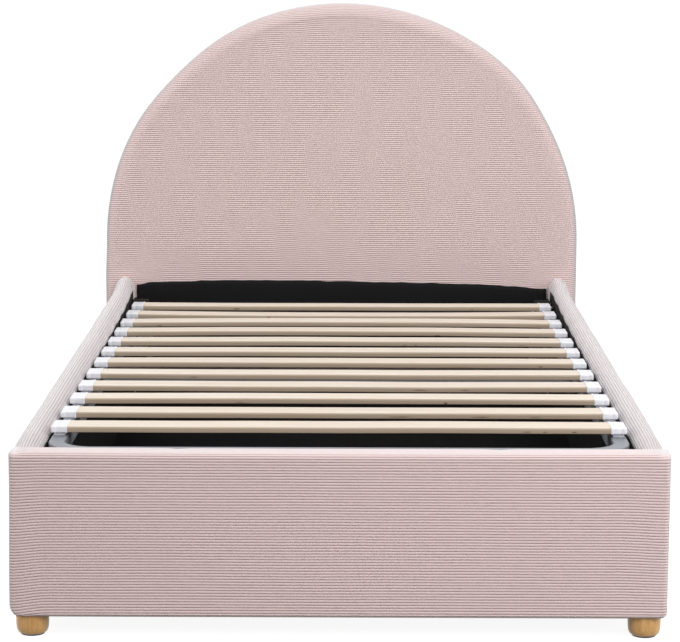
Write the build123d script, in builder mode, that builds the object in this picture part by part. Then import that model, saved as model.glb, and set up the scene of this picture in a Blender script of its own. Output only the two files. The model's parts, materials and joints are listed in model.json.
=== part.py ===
from build123d import *
from math import atan2, cos, degrees, radians, sin
import os

os.makedirs("parts", exist_ok=True)

# An upholstered storage bed for a 1070 x 2030 mattress, in millimetres.
# X runs across the bed, +Y towards the headboard and +Z up; the origin is on the floor, at the middle.

# Whole bed
bed_width = 1193.0
mattress_room = 2048.0
side_height = 310.0
foot_height = 40.0
lining_thick = 1.0
fit_gap = 0.3
running_gap = 0.05
overrun = 6.0

# Headboard
headboard_width = 1264.0
headboard_thick = 80.0
headboard_straight = 407.0
headboard_foam = 30.0
headboard_edge_pad = 14.0
headboard_front_round = 35.0
headboard_back_round = 10.0
back_cloth_thick = 2.0
headboard_lining_inset = 5.0
headboard_hem_middle = 8.0
headboard_hem_ends = 24.0

# Foot panel
foot_panel_thick = 56.0
foot_panel_drop = 4.5
foot_panel_pad = 8.0
foot_panel_end_pad = 12.0
foot_panel_top_pad = 12.0
foot_panel_round = 10.0
foot_panel_bottom_round = 6.0
foot_panel_hem = 9.0

# Side rails
rail_thick = 50.0
rail_inset = 0.5
rail_core_thick = 24.0
rail_inner_pad = 10.0
rail_top_pad = 20.0
rail_hem = 19.0

# Storage floor
ledge_width = 20.0
ledge_height = 20.0
floor_thick = 5.0
floor_play = 1.0
beam_width = 60.0
beam_leg_radius = 20.0
beam_leg_count = 3
beam_leg_spacing = 600.0

# Feet
foot_radius = 30.0
foot_inset_x = 37.5
foot_inset_y = 40.0
foot_bottom_round = 7.0
glide_radius = 22.0
glide_thick = 2.0
foot_stud_radius = 4.0
foot_stud_length = 60.0
foot_stud_grip = 24.0

# Corner brackets and their bolts
bracket_leg = 40.0
bracket_thick = 3.0
bracket_height = 120.0
bracket_rise = 50.0
bolt_radius = 4.0
bolt_head_radius = 6.5
bolt_head_height = 5.0
bolt_grip = 18.0
bolt_spacing = 70.0
bolt_from_corner = 24.0

# Slats and their end caps
slat_count = 12
slat_width = 63.0
slat_thick = 12.0
slat_round = 3.0
slat_pitch = 148.5
slat_start = 128.0
slat_drop = 32.5
cap_length = 30.0
cap_wall = 1.0
cap_side_wall = 1.5
cap_end_wall = 3.0
cap_overhang = 0.5
cap_round = 1.2
cap_stand = 6.0
cap_foot_length = 22.0
cap_foot_width = 46.0
peg_radius = 4.0
peg_length = 8.0

# Platform frame
tube = 30.0
tube_wall = 1.5
tube_round = 3.0
frame_side_gap = 7.5
bow_gap = 5.0
bow_bend = 72.0
bow_reach = 200.0

# Lift hinge
pivot_from_head = 149.0
rest_lift = 1.2
lift_limit = 45.0
arm_wall = 2.5
arm_ear_radius = 32.0
arm_front_gap = 2.0
tube_end_gap = 20.0
arm_bolt_radius = 3.0
arm_bolt_head_radius = 5.5
arm_bolt_head_height = 4.0
arm_bolt_edge = 12.0
arm_bolt_spacing = 22.0
pin_radius = 6.0
pin_head_radius = 10.0
pin_head_height = 4.0
plate_thick = 4.0
plate_width = 90.0
plate_round = 12.0
plate_above_pivot = 30.0
plate_below_stud = 35.0
screw_radius = 3.0
screw_head_radius = 6.0
screw_head_depth = 3.0
screw_inset = 14.0
screw_length = 30.0

# Gas struts
strut_reach = 350.0
strut_drop = 42.0
strut_foot_back = 10.0
strut_foot_drop = 130.0
strut_stud_radius = 5.0
strut_eye_radius = 11.0
strut_eye_width = 14.0
cylinder_radius = 11.0
cylinder_wall = 2.0
cylinder_length = 200.0
cylinder_end_wall = 6.0
gland_length = 14.0
rod_radius = 5.0
piston_length = 12.0
piston_start = 12.0
clip_radius = 7.5
clip_thick = 2.0
strut_bracket_thick = 4.0
strut_bracket_width = 50.0
strut_bracket_below = 13.0
strut_bracket_round = 10.0
strut_boss_radius = 9.0
strut_boss_thick = 5.0

# Rests that carry the closed platform
rest_spacing = 700.0
rest_width = 60.0
rest_depth = 40.0
rest_height = 40.0

# Places that follow from the sizes
total_length = foot_panel_thick + mattress_room + headboard_thick
front_y = -total_length / 2
rear_y = total_length / 2
inner_front_y = front_y + foot_panel_thick
inner_rear_y = inner_front_y + mattress_room
side_bottom = foot_height
side_top = side_bottom + side_height
foot_panel_height = side_height - foot_panel_drop
arch_z = side_bottom + headboard_straight
rail_outer_x = bed_width / 2 - rail_inset
rail_inner_x = rail_outer_x - rail_thick
rail_mid_x = rail_outer_x - rail_thick / 2
rail_core_x = rail_inner_x + rail_inner_pad + rail_core_thick / 2
room_x = rail_inner_x - lining_thick
room_front_y = inner_front_y + lining_thick
room_rear_y = inner_rear_y - lining_thick
headboard_core_y = inner_rear_y + headboard_foam
floor_z = side_bottom + ledge_height
foot_x = bed_width / 2 - foot_inset_x
bracket_z = side_bottom + bracket_rise
bracket_mid_z = bracket_z + bracket_height / 2
corner = (Align.CENTER, Align.CENTER, Align.MIN)
hung = (Align.CENTER, Align.CENTER, Align.MAX)
sides = (-1, 1)

# The platform is drawn in the deck's own frame, whose X axis is the hinge line.
# Its Y axis runs along the tubes towards the headboard, and it stands open by the rest angle.
frame_outer_x = room_x - frame_side_gap
tube_x = frame_outer_x - tube / 2
tube_inner_x = frame_outer_x - tube
pivot_y = inner_rear_y - pivot_from_head
pivot_z = side_top - slat_drop - slat_thick - cap_wall - cap_stand - tube / 2
tilt = radians(rest_lift)
deck = Plane(origin=(0, pivot_y, pivot_z), x_dir=(1, 0, 0), z_dir=(0, sin(tilt), cos(tilt)))
deck_front = inner_front_y + bow_gap - pivot_y
bow_end = deck_front + bow_reach
tube_end = -tube_end_gap
slat_z = tube / 2 + cap_stand + cap_wall + slat_thick / 2
slat_half_length = frame_outer_x + cap_overhang - cap_end_wall
cap_width = slat_width + 2 * cap_side_wall
cap_height = slat_thick + 2 * cap_wall
cap_x = frame_outer_x + cap_overhang - cap_length / 2
slat_places = [
    inner_front_y + slat_start + slat_width / 2 + i * slat_pitch - pivot_y for i in range(slat_count)
]
arm_front = slat_places[-1] + cap_width / 2 + arm_front_gap
arm_half_height = tube / 2 + arm_wall
arm_bolt_places = [arm_front + arm_bolt_edge, arm_front + arm_bolt_edge + arm_bolt_spacing]

# Strut ends: the foot on the hinge plate and the head under the side tube
strut_foot = Vector(0, pivot_y + strut_foot_back, pivot_z - strut_foot_drop)
strut_head = deck.from_local_coords(Vector(0, -strut_reach, -strut_drop))
strut_length = (strut_head - strut_foot).length
plate_x = room_x - plate_thick
plate_top = pivot_z + plate_above_pivot
plate_bottom = strut_foot.Z - plate_below_stud


def front_plane(y):
    """Plane across the bed at y, seen from the foot end; a negative extrude runs to the headboard."""
    return Plane.XZ.offset(-y)


def deck_side(x):
    """Plane along the deck at x: its X axis follows the tubes and its Y axis stands off the deck."""
    return Plane(origin=deck.from_local_coords(Vector(x, 0, 0)), x_dir=deck.y_dir, z_dir=deck.x_dir)


def save(part, name):
    part.label = name
    export_step(part, f"parts/{name}.step")


def drill(seats, radius, depth):
    """Round holes from the seat planes, along their Z axes, cut from the part being built."""
    with Locations(*seats):
        Cylinder(radius, depth, align=corner, mode=Mode.SUBTRACT)


# Bolt seats, as planes whose Z axes point the way the bolts are driven
def rail_seats(side):
    seat_x = side * (room_x - bracket_thick)
    ends = (room_front_y + bolt_from_corner, room_rear_y - bolt_from_corner)
    levels = (bracket_mid_z - bolt_spacing / 2, bracket_mid_z + bolt_spacing / 2)
    return [Plane(origin=(seat_x, y, z), z_dir=(side, 0, 0)) for y in ends for z in levels]


def end_seats(y, direction):
    levels = (bracket_mid_z - bolt_spacing / 2, bracket_mid_z + bolt_spacing / 2)
    seat_x = room_x - bolt_from_corner
    return [Plane(origin=(side * seat_x, y, z), z_dir=(0, direction, 0)) for side in sides for z in levels]


foot_seats = end_seats(room_front_y + bracket_thick, -1)
head_seats = end_seats(room_rear_y - bracket_thick, 1)
rail_bolt_length = bracket_thick + lining_thick + rail_inner_pad + bolt_grip
foot_bolt_length = bracket_thick + lining_thick + foot_panel_pad + bolt_grip
head_bolt_length = bracket_thick + lining_thick + headboard_foam + bolt_grip
bolt_hole_radius = bolt_radius + fit_gap


def screw_seats(side):
    """Seats of the four countersunk screws of one hinge plate."""
    middle_y = (pivot_y + strut_foot.Y) / 2
    spread_y = plate_width / 2 - screw_inset
    levels = (plate_bottom + screw_inset, plate_top - screw_inset)
    return [
        Plane(origin=(side * plate_x, middle_y + shift, z), z_dir=(side, 0, 0))
        for shift in (-spread_y, spread_y)
        for z in levels
    ]


foot_places = [(side * foot_x, y) for side in sides for y in (front_y + foot_inset_y, rear_y - foot_inset_y)]
stud_bottom = foot_height - foot_stud_grip
stud_hole_radius = foot_stud_radius + fit_gap
stud_seats = [Plane(origin=(x, y, stud_bottom), z_dir=(0, 0, 1)) for x, y in foot_places]


# Headboard
def arch_profile(inset, y):
    """The arched front outline, drawn in by inset at the sides and the arch."""
    half = headboard_width / 2 - inset
    with BuildSketch(front_plane(y)) as outline:
        with BuildLine():
            CenterArc((0, arch_z), half, 0, 180)
            Polyline((-half, arch_z), (-half, side_bottom), (half, side_bottom), (half, arch_z))
        make_face()
    return outline.sketch


def headboard_panel():
    with BuildPart() as panel:
        core_depth = rear_y - back_cloth_thick - headboard_core_y
        extrude(arch_profile(headboard_edge_pad, headboard_core_y), amount=-core_depth)
        drill(head_seats, bolt_hole_radius, head_bolt_length + overrun)
        drill(stud_seats, stud_hole_radius, foot_stud_length + overrun)
    return panel.part


def headboard_cover():
    with BuildPart() as cover:
        extrude(arch_profile(0, inner_rear_y), amount=-headboard_thick)
        front_edges = cover.faces().sort_by(Axis.Y)[0].edges().group_by(Axis.Z)[1:]
        fillet([edge for group in front_edges for edge in group], headboard_front_round)
        back_edges = cover.faces().sort_by(Axis.Y)[-1].edges().group_by(Axis.Z)[1:]
        fillet([edge for group in back_edges for edge in group], headboard_back_round)
        pocket_depth = rear_y - headboard_core_y
        extrude(arch_profile(headboard_edge_pad, headboard_core_y), amount=-pocket_depth, mode=Mode.SUBTRACT)
        drill(head_seats, bolt_hole_radius, head_bolt_length)
    return cover.part


def headboard_back_cloth():
    with BuildPart() as cloth:
        extrude(arch_profile(headboard_edge_pad, rear_y - back_cloth_thick), amount=-back_cloth_thick)
    return cloth.part


def headboard_lining():
    half = room_x - headboard_lining_inset
    low, high = side_top - headboard_hem_ends, side_top - headboard_hem_middle
    with BuildPart() as lining:
        with BuildSketch(front_plane(room_rear_y)):
            with BuildLine():
                ThreePointArc((-half, low), (0, high), (half, low))
                Polyline((-half, low), (-half, side_bottom), (half, side_bottom), (half, low))
            make_face()
        extrude(amount=-lining_thick)
        drill(head_seats, bolt_hole_radius, head_bolt_length)
    return lining.part


# Foot panel
def foot_panel_core():
    core_thick = foot_panel_thick - 2 * foot_panel_pad
    core_height = foot_panel_height - foot_panel_top_pad
    with BuildPart() as core:
        with Locations((0, (front_y + inner_front_y) / 2, side_bottom)):
            Box(bed_width - 2 * foot_panel_end_pad, core_thick, core_height, align=corner)
        drill(foot_seats, bolt_hole_radius, foot_bolt_length + overrun)
        drill(stud_seats, stud_hole_radius, foot_stud_length + overrun)
    return core.part


def foot_panel_cover():
    core_thick = foot_panel_thick - 2 * foot_panel_pad
    core_height = foot_panel_height - foot_panel_top_pad
    with BuildPart() as cover:
        with Locations((0, (front_y + inner_front_y) / 2, side_bottom)):
            Box(bed_width, foot_panel_thick, foot_panel_height, align=corner)
        fillet(cover.edges().filter_by(Axis.Z) + cover.edges().group_by(Axis.Z)[-1], foot_panel_round)
        fillet(cover.edges().group_by(Axis.Z)[0], foot_panel_bottom_round)
        with Locations((0, (front_y + inner_front_y) / 2, side_bottom)):
            Box(
                bed_width - 2 * foot_panel_end_pad,
                core_thick,
                core_height,
                align=corner,
                mode=Mode.SUBTRACT,
            )
        drill(foot_seats, bolt_hole_radius, foot_bolt_length)
    return cover.part


def foot_panel_lining():
    with BuildPart() as lining:
        with Locations((0, inner_front_y + lining_thick / 2, side_bottom)):
            Box(2 * room_x, lining_thick, foot_panel_height - foot_panel_hem - foot_panel_round, align=corner)
        drill(foot_seats, bolt_hole_radius, foot_bolt_length)
    return lining.part


# Side rails
def rail_core(side):
    with BuildPart() as core:
        with Locations((side * rail_core_x, (inner_front_y + inner_rear_y) / 2, side_bottom)):
            Box(rail_core_thick, mattress_room, side_height - rail_top_pad, align=corner)
        drill(rail_seats(side), bolt_hole_radius, rail_bolt_length + overrun)
        drill(screw_seats(side), screw_radius, screw_length + overrun)
    return core.part


def rail_cover(side):
    with BuildPart() as cover:
        with BuildSketch(front_plane(inner_front_y)):
            with Locations((side * rail_mid_x, side_top - rail_thick / 2)):
                Circle(rail_thick / 2)
            with Locations((side * rail_mid_x, side_bottom)):
                Rectangle(rail_thick, side_height - rail_thick / 2, align=(Align.CENTER, Align.MIN))
            with Locations((side * rail_core_x, side_bottom)):
                Rectangle(
                    rail_core_thick,
                    side_height - rail_top_pad,
                    align=(Align.CENTER, Align.MIN),
                    mode=Mode.SUBTRACT,
                )
        extrude(amount=-mattress_room)
        drill(rail_seats(side), bolt_hole_radius, rail_bolt_length)
        drill(screw_seats(side), screw_radius, screw_length)
    return cover.part


def rail_lining(side):
    length = room_rear_y - room_front_y
    with BuildPart() as lining:
        with Locations((side * (room_x + lining_thick / 2), (room_front_y + room_rear_y) / 2, side_bottom)):
            Box(lining_thick, length, side_height - rail_hem, align=corner)
        drill(rail_seats(side), bolt_hole_radius, rail_bolt_length)
        drill(screw_seats(side), screw_radius, screw_length)
    return lining.part


# Storage floor
def floor_ledge(side):
    with BuildPart() as ledge:
        with Locations((side * (room_x - ledge_width / 2), (room_front_y + room_rear_y) / 2, side_bottom)):
            Box(ledge_width, room_rear_y - room_front_y, ledge_height, align=corner)
    return ledge.part


def floor_panel(end):
    """One half of the storage floor: end is -1 at the foot end and 1 at the head end."""
    reach = (room_rear_y - room_front_y) / 2 - 2 * floor_play
    middle = (room_front_y + room_rear_y) / 2 + end * (reach / 2 + floor_play)
    with BuildPart() as panel:
        with Locations((0, middle, floor_z)):
            Box(2 * (room_x - floor_play), reach, floor_thick, align=corner)
    return panel.part


def floor_beam():
    with BuildPart() as beam:
        with Locations((0, (room_front_y + room_rear_y) / 2, side_bottom)):
            Box(beam_width, room_rear_y - room_front_y, ledge_height, align=corner)
    return beam.part


def beam_legs():
    with BuildPart() as legs:
        with GridLocations(0, beam_leg_spacing, 1, beam_leg_count):
            Cylinder(beam_leg_radius, side_bottom, align=corner)
        fillet(legs.edges().group_by(Axis.Z)[0], glide_thick)
    return legs.part


# Feet
def wooden_foot(x, y):
    with BuildPart() as foot:
        with Locations((x, y, glide_thick)):
            Cylinder(foot_radius, foot_height - glide_thick, align=corner)
        fillet(foot.edges().group_by(Axis.Z)[0], foot_bottom_round)
        drill([Plane(origin=(x, y, stud_bottom), z_dir=(0, 0, 1))], stud_hole_radius, foot_stud_length)
    return foot.part


def foot_glides():
    with BuildPart() as glides:
        with Locations(*foot_places):
            Cylinder(glide_radius, glide_thick, align=corner)
    return glides.part


def foot_studs():
    with BuildPart() as studs:
        with Locations(*stud_seats):
            Cylinder(foot_stud_radius, foot_stud_length, align=corner)
    return studs.part


# Corner brackets and bolts
def corner_brackets():
    with BuildPart() as brackets:
        with BuildSketch(Plane.XY.offset(bracket_z)):
            for side in sides:
                for y, direction in ((room_front_y, 1), (room_rear_y, -1)):
                    with Locations((side * (room_x - bracket_leg / 2), y + direction * bracket_thick / 2)):
                        Rectangle(bracket_leg, bracket_thick)
                    with Locations((side * (room_x - bracket_thick / 2), y + direction * bracket_leg / 2)):
                        Rectangle(bracket_thick, bracket_leg)
        extrude(amount=bracket_height)
        for side in sides:
            drill(rail_seats(side), bolt_hole_radius, rail_bolt_length)
        drill(foot_seats + head_seats, bolt_hole_radius, foot_bolt_length)
    return brackets.part


def corner_bolts():
    groups = [(rail_seats(side), rail_bolt_length) for side in sides]
    groups += [(foot_seats, foot_bolt_length), (head_seats, head_bolt_length)]
    with BuildPart() as bolts:
        for seats, length in groups:
            with Locations(*seats):
                Cylinder(bolt_radius, length, align=corner)
                Cylinder(bolt_head_radius, bolt_head_height, align=hung)
    return bolts.part


# Slats and caps
def slat(place):
    with BuildPart(deck) as board:
        with Locations((0, place, slat_z)):
            Box(2 * slat_half_length, slat_width, slat_thick)
        fillet(board.edges().filter_by(Axis.X), slat_round)
    return board.part


def slat_caps(side):
    """End caps of one side, each a socket for its slat on a low foot, with a peg into the tube."""
    places = [(side * cap_x, place, slat_z) for place in slat_places]
    with BuildPart(deck) as caps:
        with Locations(*places):
            Box(cap_length, cap_width, cap_height)
        fillet(caps.edges(), cap_round)
        with Locations(*[(side * slat_half_length, place, slat_z) for place in slat_places]):
            inward = Align.MAX if side > 0 else Align.MIN
            Box(
                cap_length,
                slat_width,
                slat_thick,
                align=(inward, Align.CENTER, Align.CENTER),
                mode=Mode.SUBTRACT,
            )
        with Locations(*[(side * tube_x, place, tube / 2) for place in slat_places]):
            Box(cap_foot_length, cap_foot_width, cap_stand, align=corner)
            Cylinder(peg_radius, peg_length, align=hung)
    return caps.part


# Platform frame
def tube_section(plane):
    """Square hollow section with rounded corners, centred on the plane's origin."""
    tube_bore = tube - 2 * tube_wall
    with BuildSketch(plane) as section:
        RectangleRounded(tube, tube, tube_round)
        RectangleRounded(tube_bore, tube_bore, tube_round - tube_wall, mode=Mode.SUBTRACT)
    return section.sketch


def peg_seats(side, low, high):
    """Tops of the tube where the cap pegs between two places along the deck go in."""
    places = [place for place in slat_places if low < place < high]
    return [
        Plane(origin=deck.from_local_coords(Vector(side * tube_x, place, tube / 2)), z_dir=-deck.z_dir)
        for place in places
    ]


def arm_bolt_seats(side):
    """Inboard faces of the lift arm where its two bolts go in."""
    return [
        Plane(
            origin=deck.from_local_coords(Vector(side * (tube_inner_x - arm_wall), place, 0)),
            z_dir=(side, 0, 0),
        )
        for place in arm_bolt_places
    ]


def frame_front_bow():
    run = deck_front + tube / 2
    with BuildPart() as bow:
        with BuildLine(deck):
            path = FilletPolyline(
                (-tube_x, bow_end), (-tube_x, run), (tube_x, run), (tube_x, bow_end), radius=bow_bend
            )
        start = Plane(origin=path @ 0, x_dir=deck.x_dir, z_dir=path % 0)
        sweep(tube_section(start), path=path)
        for side in sides:
            drill(peg_seats(side, deck_front, bow_end), peg_radius + fit_gap, peg_length + tube_wall)
    return bow.part


def frame_side_tube(side):
    start = Plane(
        origin=deck.from_local_coords(Vector(side * tube_x, bow_end, 0)),
        x_dir=deck.x_dir,
        z_dir=deck.y_dir,
    )
    with BuildPart() as rail:
        extrude(tube_section(start), amount=tube_end - bow_end)
        drill(peg_seats(side, bow_end, tube_end), peg_radius + fit_gap, peg_length + tube_wall)
        drill(arm_bolt_seats(side), arm_bolt_radius, tube + 2 * arm_wall)
    return rail.part


def frame_cross_tube(place):
    """Cross tube welded between the side tubes, at that place along the deck."""
    start = Plane(
        origin=deck.from_local_coords(Vector(-tube_inner_x, place, 0)),
        x_dir=deck.y_dir,
        z_dir=deck.x_dir,
    )
    with BuildPart() as cross:
        extrude(tube_section(start), amount=2 * tube_inner_x)
    return cross.part


# Lift hinge
def lift_arm(side):
    """Channel over the rear end of a side tube, with a round ear about the hinge line."""
    with BuildPart() as arm:
        with BuildSketch(deck_side(side * (tube_inner_x - arm_wall))):
            with Locations((arm_front / 2, 0)):
                Rectangle(-arm_front, 2 * arm_half_height)
            Circle(arm_ear_radius)
            make_hull()
        extrude(amount=side * (tube + 2 * arm_wall))
        with BuildSketch(deck_side(side * tube_inner_x)):
            with Locations((arm_front / 2, 0)):
                Rectangle(-arm_front + 2 * overrun, tube)
            Circle(arm_ear_radius - arm_wall)
            make_hull()
            with Locations((arm_ear_radius - arm_wall, 0)):
                Rectangle(
                    arm_ear_radius - arm_wall - arm_front + overrun,
                    arm_ear_radius + overrun,
                    align=(Align.MAX, Align.MAX),
                )
        extrude(amount=side * tube, mode=Mode.SUBTRACT)
        pin_start = Plane(origin=(side * (tube_inner_x - 2 * arm_wall), pivot_y, pivot_z), z_dir=(side, 0, 0))
        drill([pin_start], pin_radius + running_gap, tube + 4 * arm_wall)
        drill(arm_bolt_seats(side), arm_bolt_radius, tube + 2 * arm_wall)
    return arm.part


def arm_bolts():
    with BuildPart() as bolts:
        for side in sides:
            with Locations(*arm_bolt_seats(side)):
                Cylinder(arm_bolt_radius, tube + 2 * arm_wall, align=corner)
                Cylinder(arm_bolt_head_radius, arm_bolt_head_height, align=hung)
    return bolts.part


def hinge_plate(side):
    """Plate on the rail that holds the hinge pin, with the fixed stud of the strut's foot."""
    with BuildPart() as plate:
        with BuildSketch(Plane.YZ.offset(side * plate_x)):
            with Locations(((pivot_y + strut_foot.Y) / 2, (plate_top + plate_bottom) / 2)):
                RectangleRounded(plate_width, plate_top - plate_bottom, plate_round)
        extrude(amount=side * plate_thick)
        drill([Plane(origin=(side * plate_x, pivot_y, pivot_z), z_dir=(side, 0, 0))], pin_radius, plate_thick)
        drill(screw_seats(side), screw_radius, plate_thick)
        with Locations(*screw_seats(side)):
            Cone(
                screw_head_radius,
                screw_radius,
                screw_head_depth,
                align=corner,
                mode=Mode.SUBTRACT,
            )
        stud_start = Plane(origin=(side * plate_x, strut_foot.Y, strut_foot.Z), z_dir=(-side, 0, 0))
        stud_reach = plate_x - tube_x + strut_eye_width / 2 + fit_gap
        with Locations(stud_start):
            Cylinder(strut_stud_radius, stud_reach + clip_thick, align=corner)
        with Locations(stud_start.offset(stud_reach)):
            Cylinder(clip_radius, clip_thick, align=corner)
    return plate.part


def hinge_screws():
    with BuildPart() as screws:
        for side in sides:
            with Locations(*screw_seats(side)):
                Cylinder(screw_radius, screw_length, align=corner)
                Cone(screw_head_radius, screw_radius, screw_head_depth, align=corner)
    return screws.part


def hinge_pins():
    """Pins riveted in the plates, running through both walls of the arms."""
    reach = plate_x - tube_inner_x + arm_wall + fit_gap
    with BuildPart() as pins:
        for side in sides:
            seat = Plane(origin=(side * room_x, pivot_y, pivot_z), z_dir=(-side, 0, 0))
            with Locations(seat):
                Cylinder(pin_radius, plate_thick + reach, align=corner)
            with Locations(seat.offset(plate_thick + reach)):
                Cylinder(pin_head_radius, pin_head_height, align=corner)
    return pins.part


# Gas struts, drawn from the foot stud along the line to the head stud
def strut_plane(side):
    return Plane(
        origin=(side * tube_x, strut_foot.Y, strut_foot.Z),
        x_dir=(1, 0, 0),
        z_dir=strut_head - strut_foot,
    )


body_start = strut_eye_radius
body_end = body_start + cylinder_length
piston_z = body_start + cylinder_end_wall + piston_start
bore_radius = cylinder_radius - cylinder_wall


def strut_cylinder(side):
    with BuildPart(strut_plane(side)) as cylinder:
        Cylinder(strut_eye_radius, strut_eye_width, rotation=(0, 90, 0))
        Cylinder(rod_radius, body_start + cylinder_end_wall, align=corner)
        with Locations((0, 0, body_start)):
            Cylinder(cylinder_radius, cylinder_length, align=corner)
        Cylinder(strut_stud_radius + running_gap, strut_eye_width, rotation=(0, 90, 0), mode=Mode.SUBTRACT)
        with Locations((0, 0, body_start + cylinder_end_wall)):
            Cylinder(
                bore_radius,
                cylinder_length - cylinder_end_wall - gland_length,
                align=corner,
                mode=Mode.SUBTRACT,
            )
            Cylinder(rod_radius + running_gap, cylinder_length, align=corner, mode=Mode.SUBTRACT)
    return cylinder.part


def strut_rod(side):
    """Rod with its piston and end eye, and the head stud that faces the platform's bracket."""
    with BuildPart(strut_plane(side)) as rod:
        with Locations((0, 0, piston_z)):
            Cylinder(bore_radius - running_gap, piston_length, align=corner)
            Cylinder(rod_radius, strut_length - piston_z, align=corner)
        with Locations((0, 0, strut_length)):
            Cylinder(strut_eye_radius, strut_eye_width, rotation=(0, 90, 0))
        stud_reach = strut_eye_width / 2 + clip_thick
        with Locations((-side * stud_reach / 2, 0, strut_length)):
            Cylinder(strut_stud_radius, stud_reach, rotation=(0, 90, 0))
    return rod.part


def strut_bracket(side):
    """Plate welded under the side tube, beside the strut's head, with a boss on its inboard face."""
    face_x = tube_x - strut_eye_width / 2 - clip_thick - fit_gap
    drop = strut_drop - tube / 2 + strut_bracket_below
    with BuildPart() as bracket:
        with BuildSketch(deck_side(side * face_x)) as outline:
            with Locations((-strut_reach, -tube / 2)):
                Rectangle(strut_bracket_width, drop, align=(Align.CENTER, Align.MAX))
            fillet(outline.vertices().group_by(Axis.Y)[0], strut_bracket_round)
        extrude(amount=-side * strut_bracket_thick)
        with BuildSketch(deck_side(side * (face_x - strut_bracket_thick))):
            with Locations((-strut_reach, -strut_drop)):
                Circle(strut_boss_radius)
        extrude(amount=-side * strut_boss_thick)
    return bracket.part


# Rests on the foot panel
def platform_rests():
    top = pivot_z - tube / 2 - fit_gap
    with BuildPart() as rests:
        with Locations(*[(side * rest_spacing / 2, room_front_y + rest_depth / 2, top) for side in sides]):
            Box(rest_width, rest_depth, rest_height, align=hung)
    return rests.part


save(headboard_panel(), "headboard_panel")
save(headboard_cover(), "headboard_cover")
save(headboard_back_cloth(), "headboard_back_cloth")
save(headboard_lining(), "headboard_lining")
save(foot_panel_core(), "foot_panel_core")
save(foot_panel_cover(), "foot_panel_cover")
save(foot_panel_lining(), "foot_panel_lining")
for side, hand in ((-1, "left"), (1, "right")):
    save(rail_core(side), f"{hand}_rail_core")
    save(rail_cover(side), f"{hand}_rail_cover")
    save(rail_lining(side), f"{hand}_rail_lining")
    save(floor_ledge(side), f"{hand}_floor_ledge")
    save(wooden_foot(side * foot_x, front_y + foot_inset_y), f"front_{hand}_foot")
    save(wooden_foot(side * foot_x, rear_y - foot_inset_y), f"rear_{hand}_foot")
    save(frame_side_tube(side), f"{hand}_frame_tube")
    save(slat_caps(side), f"{hand}_slat_caps")
    save(lift_arm(side), f"{hand}_lift_arm")
    save(hinge_plate(side), f"{hand}_hinge_plate")
    save(strut_cylinder(side), f"{hand}_strut_cylinder")
    save(strut_rod(side), f"{hand}_strut_rod")
    save(strut_bracket(side), f"{hand}_strut_bracket")
save(floor_panel(-1), "storage_floor_front")
save(floor_panel(1), "storage_floor_rear")
save(floor_beam(), "floor_beam")
save(beam_legs(), "floor_beam_legs")
save(foot_glides(), "foot_glides")
save(foot_studs(), "foot_studs")
save(corner_brackets(), "corner_brackets")
save(corner_bolts(), "corner_bolts")
save(frame_front_bow(), "frame_front_bow")
save(frame_cross_tube(slat_places[slat_count // 2 - 1]), "frame_middle_tube")
save(frame_cross_tube(slat_places[-1]), "frame_rear_tube")
save(arm_bolts(), "lift_arm_bolts")
save(hinge_pins(), "hinge_pins")
save(hinge_screws(), "hinge_screws")
save(platform_rests(), "platform_rests")
for index, place in enumerate(slat_places):
    save(slat(place), f"slat_{index + 1:02d}")

# Motion of the struts with the platform: both follow the lift angle at a constant ratio
hinge_line = Vector(0, pivot_y, pivot_z)
arm_vector = strut_head - hinge_line
turn = -radians(lift_limit)
open_head = hinge_line + Vector(
    0,
    arm_vector.Y * cos(turn) - arm_vector.Z * sin(turn),
    arm_vector.Y * sin(turn) + arm_vector.Z * cos(turn),
)
rest_line = strut_head - strut_foot
open_line = open_head - strut_foot
swing = atan2(-rest_line.Y, rest_line.Z) - atan2(-open_line.Y, open_line.Z)
swing_ratio = degrees(swing) / lift_limit
slide_ratio = (open_line.length - rest_line.length) / radians(lift_limit)
print("hinge line y and z:", round(pivot_y, 3), round(pivot_z, 3))
print("strut foot y and z:", round(strut_foot.Y, 3), round(strut_foot.Z, 3))
print("strut direction at rest:", rest_line.normalized())
print("cylinder swing per degree of lift:", round(swing_ratio, 6))
print("rod travel per radian of lift:", round(slide_ratio, 5))
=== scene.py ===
import json
import math

import bmesh
import bpy
import numpy as np
from mathutils import Matrix, Vector


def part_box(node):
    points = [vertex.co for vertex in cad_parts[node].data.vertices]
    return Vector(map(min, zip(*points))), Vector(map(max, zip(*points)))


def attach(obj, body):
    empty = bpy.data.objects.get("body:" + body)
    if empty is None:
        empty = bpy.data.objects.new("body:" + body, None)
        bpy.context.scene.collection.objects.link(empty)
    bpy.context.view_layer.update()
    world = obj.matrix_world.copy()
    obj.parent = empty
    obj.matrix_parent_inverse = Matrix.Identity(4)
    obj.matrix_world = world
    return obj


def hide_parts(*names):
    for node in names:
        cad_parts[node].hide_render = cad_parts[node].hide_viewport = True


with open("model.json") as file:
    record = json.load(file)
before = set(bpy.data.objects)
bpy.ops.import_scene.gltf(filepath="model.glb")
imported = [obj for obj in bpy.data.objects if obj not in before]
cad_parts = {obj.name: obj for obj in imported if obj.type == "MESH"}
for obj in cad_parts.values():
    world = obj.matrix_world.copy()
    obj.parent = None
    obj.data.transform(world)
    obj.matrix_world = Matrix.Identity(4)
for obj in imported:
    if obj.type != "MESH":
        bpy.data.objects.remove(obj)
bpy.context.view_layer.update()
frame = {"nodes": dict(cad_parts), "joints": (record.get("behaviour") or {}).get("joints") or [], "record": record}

# Metres throughout, in the CAD frame: +X across the bed, +Y towards the headboard, +Z up.
mm = 0.001
quarter_turn = math.pi / 2

# cord fabric
rib_pitch = 5.32 * mm
rib_depth = 1.2 * mm
rib_lift = 0.2 * mm  # how far a crest stands proud of the CAD surface
rib_phases = (0.0, 0.14, 0.36, 0.64, 0.86)  # where each rib is sampled, from groove to groove
rib_fullness = 2.2  # the power of the curve across a rib

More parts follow.
